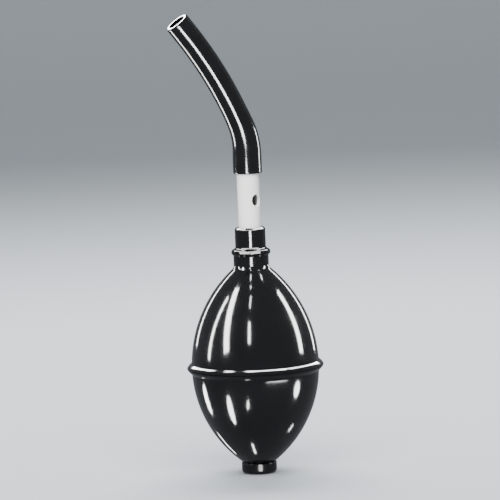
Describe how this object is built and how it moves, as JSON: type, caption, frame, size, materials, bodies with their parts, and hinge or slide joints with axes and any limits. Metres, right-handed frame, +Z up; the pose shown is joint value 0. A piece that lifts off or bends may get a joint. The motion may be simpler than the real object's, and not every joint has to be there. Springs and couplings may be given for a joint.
{
  "type": "dust blower bulb",
  "caption": "Hand-squeezed rubber bulb with a valve tube and a curved hose that blows dust off small parts.",
  "frame": {"origin": "centre of the flat foot of the stub under the bulb", "axes": "+Z up the bulb's axis towards the tube; the hose bends towards -X; the side port faces between +X and -Y"},
  "size_m": [0.0572, 0.0536, 0.1814],
  "materials": {
    "bulb_rubber": "glossy moulded",
    "plug_rubber": "satin moulded",
    "hose_rubber": "glossy extruded",
    "flap_rubber": "matte moulded",
    "white_plastic": "satin turned",
    "seat_brass": "turned",
    "bright_steel": "polished"
  },
  "bodies": {
    "bulb": {"bulb_upper_shell": "bulb_rubber", "bulb_lower_shell": "bulb_rubber", "valve_tube": "white_plastic", "flap_ring": "flap_rubber", "valve_seat": "seat_brass", "ball_stop_pin": "bright_steel"},
    "plug": {"base_plug": "plug_rubber"},
    "flap": {"intake_flap": "flap_rubber"},
    "ball": {"valve_ball": "bright_steel"},
    "spout": {"hose": "hose_rubber"}
  },
  "joints": [
    {"name": "bulb_squeeze", "type": "slide", "parent": "bulb", "child": "plug", "axis": [0, 0, 1], "range_m": [0, 0.015], "stiffness_N_per_m": 800, "deforming": ["bulb_lower_shell"]},
    {"name": "ball_lift", "type": "slide", "parent": "bulb", "child": "ball", "axis": [0, 0, 1], "range_m": [0, 0.0015]},
    {"name": "flap_swing", "type": "hinge", "parent": "bulb", "child": "flap", "pos_m": [0.00092, -0.00198, 0.11205], "axis": [0.9063, 0.4226, 0], "range_deg": [0, 25], "stiffness_Nm_per_rad": 0.00015},
    {"name": "hose_swivel", "type": "hinge", "parent": "bulb", "child": "spout", "pos_m": [0, 0, 0.12], "axis": [0, 0, 1], "continuous": true}
  ],
  "couplings": [
    {"joint": "ball_lift", "follows": "bulb_squeeze", "ratio": 0.1}
  ]
}
